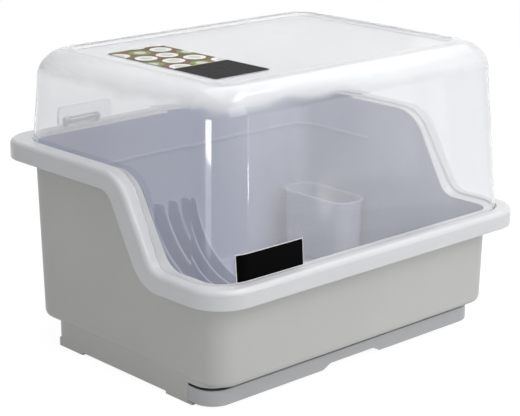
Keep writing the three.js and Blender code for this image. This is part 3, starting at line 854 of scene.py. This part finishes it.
def hingePins():
    bm = bmesh.new()
    length = hinge["knuckleLength"] + 2 * base["rest"] + hinge["earThickness"]
    for centre in (-clipCentre, clipCentre):
        addRod(bm, (centre, hingeY, hingeZ), hinge["pinRadius"], length, hinge["pinSteps"],
               alongHinge)
    return makePiece("pins", bm, rimFinish)


def makeTub():
    piece = tubShell()
    for added in (baseSkirt(), footBlocks(), trayRails(), hingeEars(), hingePins()):
        carve(piece, added, "UNION")
    carve(piece, drainCutters())
    piece.name = "tub"
    smoothPiece(piece)
    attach(piece, "tub")
    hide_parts("drainer_tub")
    print("tub done", len(piece.data.polygons))


# Drip tray

tray = {
    "lift": 4 * mm,
    "wall": 2 * mm,
    "corner": 18 * mm,
    "notchLength": 103 * mm,
    "notchTop": 80 * mm,
    "notchHeight": 5.8 * mm,
    "notchBend": 2.5 * mm,
    "cutPast": 2 * mm,
    "cutBelow": 3 * mm,
    "backLip": 1.5 * mm,
    "fasciaSunk": 0.6 * mm,
}


def trayPan():
    wall, corner, soft = tray["wall"], tray["corner"], 0.5 * mm
    flangeLow = base["railTop"] + base["rest"]
    flangeHigh = flangeLow + base["flange"]
    wideX, flangeFront = trayX + base["flangeWidth"], baseFront + base["wall"] - tray["fasciaSunk"]

    def ring(inset, z):
        return plainRing((-trayX, trayFront), (trayX, trayBack - tray["backLip"]), corner, z,
                         inset)

    def flange(inset, z):
        return plainRing((-wideX, flangeFront), (wideX, trayBack), corner, z, inset)

    edge = [ring(0, flangeLow), flange(soft, flangeLow), flange(0, flangeLow + soft),
            flange(0, flangeHigh - soft), flange(soft, flangeHigh),
            ring(wall - soft, flangeHigh), ring(wall, flangeHigh - soft)]
    return grownPiece("pan", cupRings(ring, tray["lift"], wall, edge), trayFinish)


def trayFascia():
    # A whole ring of the base's outline, of which only the part in front of the seam stays
    wall, soft = base["wall"], 0.6 * mm
    bm = bmesh.new()
    growRings(bm, [baseRing(inset, z) for inset, z in
                   ((0, fasciaLow + soft), (0, fasciaHigh - soft), (soft, fasciaHigh),
                    (wall - soft, fasciaHigh), (wall, fasciaHigh - soft), (wall, fasciaLow + soft),
                    (wall - soft, fasciaLow), (soft, fasciaLow))], closed=True)
    cut = bmesh.ops.bisect_plane(bm, geom=bm.verts[:] + bm.edges[:] + bm.faces[:],
                                 plane_co=(0, seamY, 0), plane_no=(0, 1, 0), clear_outer=True)
    bmesh.ops.edgenet_fill(bm, edges=ofKind(cut["geom_cut"], BMEdge))
    return makePiece("fascia", bm, trayFinish)


def notchCutter():
    bm = bmesh.new()
    half, past, below = tray["notchLength"] / 2, tray["cutPast"], tray["cutBelow"]
    verts = boxBetween(bm, (-half, baseFront - past, fasciaLow - below),
                       (half, baseFront + base["wall"] + past, fasciaLow + tray["notchHeight"]))
    run = (tray["notchLength"] - tray["notchTop"]) / 2 / tray["notchHeight"]
    for vert in verts:
        if vert.co.z > fasciaLow:
            vert.co.x -= copysign(run * (tray["notchHeight"] + below), vert.co.x)
    soften(bm, edgesAlong(verts, 1, fasciaLow), tray["notchBend"], 5)
    return makePiece("notch", bm)


def makeTray():
    piece = trayPan()
    fascia = trayFascia()
    carve(fascia, notchCutter())
    carve(piece, fascia, "UNION")
    piece.name = "drip_tray_moulding"
    smoothPiece(piece)
    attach(piece, "tray")
    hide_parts("drip_tray")
    print("tray done", len(piece.data.polygons))


# Lid

lid = {
    "rise": 102 * mm,
    "wall": 2 * mm,
    "bend": 30 * mm,
    "panelCorner": 24 * mm,
    "ridge": 3 * mm,
    "sink": 3 * mm,
    "slope": 3 * mm,
    "footSoft": 0.6 * mm,
}
lidTop = tub["rimTop"] + lid["rise"]
panelX, panelY = (value - lid["bend"] - lid["ridge"] - lid["slope"] for value in lidHalf(0)(lidTop))


def makeLid():
    wall, bend, corner, soft = lid["wall"], lid["bend"], tub["lidCorner"], lid["footSoft"]
    seat = tub["seatDepth"] - base["rest"]

    def bendRings(inset, radius):
        def ring(drop, fall):
            half = lambda z: tuple(value - drop for value in lidHalf(inset)(z))
            turn = corner - (corner - lid["panelCorner"]) * drop / radius - inset
            return ringAround(half, turn, level=lidTop - bend + radius - fall)
        return quarterRings(radius, lidSteps, ring)

    def panelRing(inset, step, level):
        halves = [value - (bend - inset) - step for value in lidHalf(inset)(lidTop)]
        return ringAround(lambda z: halves, lid["panelCorner"] - inset - step, level=level)

    def ridge(inset, top):
        # From the ridge round the top down to the sunk panel: how far in, and share of the sink
        flat, run = lid["ridge"], lid["slope"]
        profile = ((flat * 0.55, 0), (flat * 0.85, 0.06), (flat + run * 0.12, 0.2),
                   (flat + run * 0.88, 0.86), (flat + run * 1.15, 0.97), (flat + run * 1.5, 1),
                   (flat + run * 3, 1))
        return [panelRing(inset, step, top - lid["sink"] * fall) for step, fall in profile]

    def footRing(inset, depth):
        return ringAround(lidHalf(inset), corner - inset, depth=depth)

    outer = [*bendRings(0, bend), *ridge(0, lidTop)]
    inner = [*bendRings(wall, bend - wall), *ridge(wall, lidTop - wall)]
    foot = [footRing(wall, seat - soft), footRing(wall - soft * 0.3, seat - soft * 0.3),
            footRing(wall / 2, seat), footRing(soft * 0.3, seat - soft * 0.3),
            footRing(0, seat - soft)]
    piece = grownPiece("clear_lid", [*inner[::-1], *foot, *outer], lidFinish)
    smoothPiece(piece)
    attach(piece, "lid")
    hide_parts("lid")
    print("lid done", len(piece.data.polygons))


def makeClip(name, node, centre):
    low = tub["rimTop"] + hinge["clipLift"]
    high = low + hinge["clipHeight"]
    half, corner, wall = hinge["clipLength"] / 2, hinge["clipCorner"], hinge["clipWall"]
    soft, hair = 0.5 * mm, 0.1 * mm
    lidBack = lambda z: lidHalf(-base["rest"])(z)[1]

    plate = [[Vector((-p.x, lidBack(p.y) + p.z, p.y)) for p in ring]
             for ring in slabRings((-half, low), (half, high), corner, 0, wall, soft)]
    piece = grownPiece(name, plate, clipFinish)

    # The knuckle is a flat strip spun round the pin, short of a full turn by its mouth
    knuckle = bmesh.new()
    reach = hinge["knuckleLength"] / 2
    bore = hinge["pinRadius"] + base["rest"]
    opening = asin(hinge["mouth"] / 2 / knuckleRadius)
    rim = [knuckle.verts.new((x, hingeY + r, hingeZ)) for x, r in
           ((-reach, bore), (reach, bore), (reach, knuckleRadius), (-reach, knuckleRadius))]
    face = knuckle.faces.new(rim)
    bmesh.ops.rotate(knuckle, verts=knuckle.verts, cent=(0, hingeY, hingeZ),
                     matrix=Matrix.Rotation(opening, 3, "X"))
    bmesh.ops.spin(knuckle, geom=[face, *face.edges, *face.verts], cent=(0, hingeY, hingeZ),
                   axis=(1, 0, 0), angle=tau - 2 * opening, steps=hinge["knuckleSteps"],
                   use_merge=False)
    turning = makePiece("knuckle", knuckle, clipFinish)

    arm = bmesh.new()
    armTop = hingeZ + knuckleRadius
    boxBetween(arm, (-reach + hair, lidBack(hingeZ) + wall / 2, armTop - hinge["arm"]),
               (reach - hair, hingeY - bore * 0.6, armTop - hair))
    armPiece = makePiece("arm", arm, clipFinish)
    clear = bmesh.new()
    addRod(clear, (0, hingeY, hingeZ), bore, reach * 3, hinge["boreSteps"], alongHinge)
    carve(armPiece, makePiece("clear", clear))
    carve(turning, armPiece, "UNION")
    carve(piece, turning, "UNION")
    piece.data.transform(Matrix.Translation((centre, 0, 0)))
    smoothPiece(piece)
    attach(piece, "lid")
    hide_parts(node)
    print(name, "done", len(piece.data.polygons))


# Label and card

label = {
    "wrap": 14.8 * mm,
    "length": 91 * mm,
    "height": 29 * mm,
    "rise": 1.5 * mm,
    "thickness": 0.5 * mm,
    "border": 0.7 * mm,
    "edge": 0.12 * mm,
    "turnEnd": 24 * mm,
    "turnSteps": 12,
}


def makeLabel():
    low = frontRim + label["rise"]
    startX = lidHalf(0)(low)[0] - tub["lidCorner"] + label["wrap"]
    border, length, height = label["border"], label["length"], label["height"]
    thick = label["thickness"] - label["edge"]
    facePart, edgePart = 0, 1

    def place(along, up, out):
        # On the lid's front wall, and round its left corner where the label reaches that
        halfX, halfY = (value + out for value in lidHalf(0)(low + up))
        corner = tub["lidCorner"] + out
        x, turnX = along - startX, corner - halfX
        angle = pi * 1.5 - max(turnX - x, 0) / corner
        return Vector((max(x, turnX) + corner * cos(angle),
                       corner - halfY + corner * sin(angle), low + up))

    alongs = [0, border, *evenPlaces(border + mm, label["turnEnd"], label["turnSteps"]),
              length - border, length]
    ups = [0, border, height / 2, height - border, height]
    bm = bmesh.new()
    lastColumn, lastRow = len(alongs) - 1, len(ups) - 1
    grid = bmesh.ops.create_grid(bm, x_segments=lastColumn, y_segments=lastRow, size=1)["verts"]
    for vert in grid:
        column = round((vert.co.x + 1) / 2 * lastColumn)
        row = round((vert.co.y + 1) / 2 * lastRow)
        edge = column in (0, lastColumn) or row in (0, lastRow)
        out = base["rest"] + label["thickness"] - (label["edge"] if edge else 0)
        vert.co = place(alongs[column], ups[row], out)
    for face in bm.faces:
        up = face.calc_center_median().z - low
        onBorder = up < border or up > height - border or any(v.is_boundary for v in face.verts)
        face.material_index = edgePart if onBorder else facePart
    outline = [e for e in bm.edges if e.is_boundary]
    back = bmesh.ops.extrude_edge_only(bm, edges=outline)["geom"]
    for vert in ofKind(back, BMVert):
        turnX, turnY = (tub["lidCorner"] - value for value in lidHalf(0)(vert.co.z))
        centre = Vector((max(vert.co.x, turnX), turnY, vert.co.z))
        vert.co -= (vert.co - centre).normalized() * thick
    for face in ofKind(back, BMFace):
        face.material_index = edgePart
    bmesh.ops.holes_fill(bm, edges=[e for e in bm.edges if e.is_boundary])
    black = paperFinish("labelBlack", (220, 3), (0.0005, 0.0005, 0.0006), (0.001, 0.001, 0.0012),
                        (0.32, 0.4, 400, 2), 0.02)
    piece = makePiece("blank_label", bm, black, edgeFinish())
    smoothPiece(piece)
    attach(piece, "lid")
    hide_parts("front_label")
    print("label done")


card = {
    "width": 75 * mm,
    "endMargin": 15.7 * mm,
    "frontMargin": 26.2 * mm,
    "backMargin": 48.2 * mm,
    "corner": 2 * mm,
    "thickness": 0.5 * mm,
    "edge": 0.12 * mm,
    "darkEnd": 67 * mm,
    "line": 2 * mm,
    "plate": 29 * mm,
    "plateReach": 0.43,
    "hollowReach": 0.24,
}
cardLow = (card["endMargin"] - panelX, card["frontMargin"] - panelY)
cardHigh = (cardLow[0] + card["width"], panelY - card["backMargin"])


def cardFinish():
    finish, tree, shader = newFinish("printedCard")
    maths = mathsIn(tree)
    place = mapped(tree, Location=(-cardLow[0], -cardLow[1], 0))
    x, y = addNode(tree, "SeparateXYZ", {0: place}).outputs[:2]

    def below(value, limit, other, inside):
        return mixedColour(tree, maths("LESS_THAN", value, limit), other, inside)

    # Rows of plain plates on a wooden ground, each row set half a plate along from the last
    pitch = card["plate"]
    rowPlace = maths("DIVIDE", y, pitch)
    row = maths("FLOOR", rowPlace)
    shift = maths("MULTIPLY", maths("MODULO", row, 2), 0.5)
    columnPlace = maths("ADD", maths("DIVIDE", x, pitch), shift)
    acrossX = maths("SUBTRACT", maths("FRACT", columnPlace), 0.5)
    acrossY = maths("SUBTRACT", maths("FRACT", rowPlace), 0.5)
    reach = maths("SQRT", maths("ADD", maths("MULTIPLY", acrossX, acrossX),
                                maths("MULTIPLY", acrossY, acrossY)))
    grain = mottled(tree, 0, 1, 90, 4, (0.15, 1, 1))
    wood = mixedColour(tree, grain, (0.12, 0.08, 0.05), (0.27, 0.19, 0.12))
    odd = maths("MODULO", maths("ADD", row, maths("FLOOR", columnPlace)), 3)
    plate = below(odd, 0.5, (0.82, 0.83, 0.8), (0.23, 0.31, 0.12))
    hollow = below(reach, card["hollowReach"], plate, (0.62, 0.64, 0.6))
    picture = below(reach, card["plateReach"], wood, hollow)

    # A thin line and a bare dark part at the front end
    line = below(y, card["darkEnd"] + card["line"], picture, (0.55, 0.45, 0.33))
    dark = mixedColour(tree, mottled(tree, 0, 1, 60, 3), (0.006, 0.005, 0.006),
                       (0.011, 0.009, 0.01))
    printed = below(y, card["darkEnd"], line, dark)
    setInputs(tree, shader, {"Base Color": printed, "Specular IOR Level": 0.06,
                             "Roughness": mottled(tree, 0.5, 0.6, 300, 2)})
    addBump(tree, shader, (noiseAt(tree, 30, 2), 0.15, 0.3 * mm))
    return finish


def makeCard():
    bottom = lidTop - lid["sink"] + base["rest"]
    rings = slabRings(cardLow, cardHigh, card["corner"], bottom, bottom + card["thickness"],
                      card["edge"])
    printedPart, backPart = 0, 1
    paper = paperFinish("cardBack", (250, 4), (0.66, 0.655, 0.64), (0.72, 0.715, 0.7),
                        (0.55, 0.7, 120, 2))
    piece = grownPiece("printed_card", rings, cardFinish(), paper,
                       parts=[backPart, printedPart, printedPart])
    smoothPiece(piece)
    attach(piece, "lid")
    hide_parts("top_card")
    print("card done")


# Plate rack

rack = {
    "fins": 9,
    "pitch": 20 * mm,
    "finWall": 2.2 * mm,
    "finSoft": 0.75 * mm,
    "floor": 2.5 * mm,
    "floorSoft": 0.7 * mm,
    "margin": 10 * mm,
    "endGap": 12.3 * mm,
    "backGap": 25.3 * mm,
    "frontGap": 33.3 * mm,
    "backRise": 108 * mm,
    "frontRise": 77 * mm,
    "crown": 18 * mm,
    "tip": 6 * mm,
    "cradleRise": 28 * mm,
    "cradleSteps": 44,
    "slotWidth": 9 * mm,
    "slotMargin": 24 * mm,
    "slotBar": 30 * mm,
}
rackBack, rackFront = flatY - rack["backGap"], rack["frontGap"] - flatY
rackLow = floorTop + base["rest"]
rackFloor = rackLow + rack["floor"]


def finOutline():
    # Two round-topped posts with the plates' round hollow between them
    tip, crownY = rack["tip"], rackBack - rack["crown"]
    crownRise = rack["backRise"] - rack["cradleRise"]
    cradle = (crownY ** 2 + crownRise ** 2) / (2 * crownRise)
    centreZ = rackFloor + rack["cradleRise"] + cradle
    backTop, frontTop = rackFloor + rack["backRise"], rackFloor + rack["frontRise"]
    fromBack = asin((backTop - centreZ) / cradle)
    toFront = -pi - asin((frontTop - centreZ) / cradle)
    return [(rackFront, rackLow + mm), (rackBack, rackLow + mm),
            *arc(rackBack - tip, backTop - tip, tip, 0, quarterTurn, roundSteps),
            *arc(0, centreZ, cradle, fromBack, toFront, rack["cradleSteps"]),
            *arc(rackFront + tip, frontTop - tip, tip, quarterTurn, pi, roundSteps)]


def makeRack():
    firstX = rack["endGap"] - flatX + rack["margin"]
    lastX = firstX + rack["pitch"] * (rack["fins"] - 1)
    rings = slabRings((firstX - rack["margin"], rackFront), (lastX + rack["margin"], rackBack),
                      rack["tip"], rackLow, rackFloor, rack["floorSoft"])
    piece = grownPiece("rack", rings, rackFinish)

    cutters = bmesh.new()
    middle, bar, margin = (rackFront + rackBack) / 2, rack["slotBar"] / 2, rack["slotMargin"]
    half = rack["slotWidth"] / 2
    for x in evenPlaces(firstX + rack["pitch"] / 2, lastX - rack["pitch"] / 2, rack["fins"] - 1):
        for near, far in ((rackFront + margin, middle - bar), (middle + bar, rackBack - margin)):
            growRings(cutters, [slotRing((x - half, near), (x + half, far), z)
                                for z in (rackLow - mm, rackFloor + mm)])
    carve(piece, makePiece("rackCutters", cutters))

    fins = bmesh.new()
    outline = finOutline()
    for x in evenPlaces(firstX, lastX, rack["fins"]):
        pushedOut(fins, [(x - rack["finWall"] / 2, y, z) for y, z in outline],
                  (rack["finWall"], 0, 0))
    bmesh.ops.recalc_face_normals(fins, faces=fins.faces)
    edges = [e for e in fins.edges if e.calc_face_angle(0) > radians(60)
             and max(v.co.z for v in e.verts) > rackFloor]
    soften(fins, edges, rack["finSoft"], 3)
    carve(piece, makePiece("fins", fins, rackFinish), "UNION")
    piece.name = "rack_moulding"
    smoothPiece(piece)
    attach(piece, "rack")
    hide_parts("plate_rack")
    print("rack done", len(piece.data.polygons))


# Cutlery holder

holder = {
    "length": 106 * mm,
    "width": 42 * mm,
    "height": 84 * mm,
    "wall": 2 * mm,
    "corner": 16 * mm,
    "flare": 3 * mm,
    "lip": 2 * mm,
    "lipSoft": 0.6 * mm,
    "backGap": 10.3 * mm,
    "dividerDrop": 21 * mm,
    "dividerSoft": 0.7 * mm,
    "hole": 3 * mm,
    "holes": 4,
    "holeSteps": 24,
    "holeMargin": 20 * mm,
}


def makeHolder():
    endX, backY = flatX - base["running"], flatY - holder["backGap"]
    frontY = backY - holder["length"]
    low = floorTop + base["rest"]
    top = low + holder["height"]
    wall, flare, soft = holder["wall"], holder["flare"], holder["lipSoft"]
    reach, lipLow = flare + holder["lip"], top - holder["lip"]

    def ring(inset, z):
        return plainRing((endX - holder["width"], frontY), (endX, backY), holder["corner"], z,
                         inset)

    # The lip stands out past the walls, so its insets are below zero
    edge = [ring(-flare, lipLow), ring(soft - reach, lipLow), ring(-reach, lipLow + soft),
            ring(-reach, top - soft), ring(soft - reach, top), ring(wall - flare - soft, top),
            ring(wall - flare, top - soft)]
    piece = grownPiece("holder_moulding", cupRings(ring, low, wall, edge), holderFinish)

    middleX, middleY = endX - holder["width"] / 2, (frontY + backY) / 2
    half = holder["width"] / 2
    divider = bmesh.new()
    verts = boxBetween(divider, (middleX - half, middleY - wall / 2, low + wall / 2),
                       (middleX + half, middleY + wall / 2, top - holder["dividerDrop"]))
    soften(divider, edgesAlong(verts, 0, low + wall), holder["dividerSoft"], 3)
    carve(piece, makePiece("divider", divider, holderFinish), "UNION")
    cutters = bmesh.new()
    margin = holder["holeMargin"]
    for y in evenPlaces(frontY + margin, backY - margin, holder["holes"]):
        addRod(cutters, (middleX, y, low + wall / 2), holder["hole"], wall * 3,
               holder["holeSteps"])
    carve(piece, makePiece("holes", cutters))
    smoothPiece(piece)
    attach(piece, "holder")
    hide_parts("cutlery_holder")
    print("holder done", len(piece.data.polygons))


makeCamera()
makeLamps()
makeStage()
print("stage done")
makeTub()
makeTray()
makeRack()
makeHolder()
makeLid()
makeClip("clip_left", "hinge_clip_left", -clipCentre)
makeClip("clip_right", "hinge_clip_right", clipCentre)
makeLabel()
makeCard()
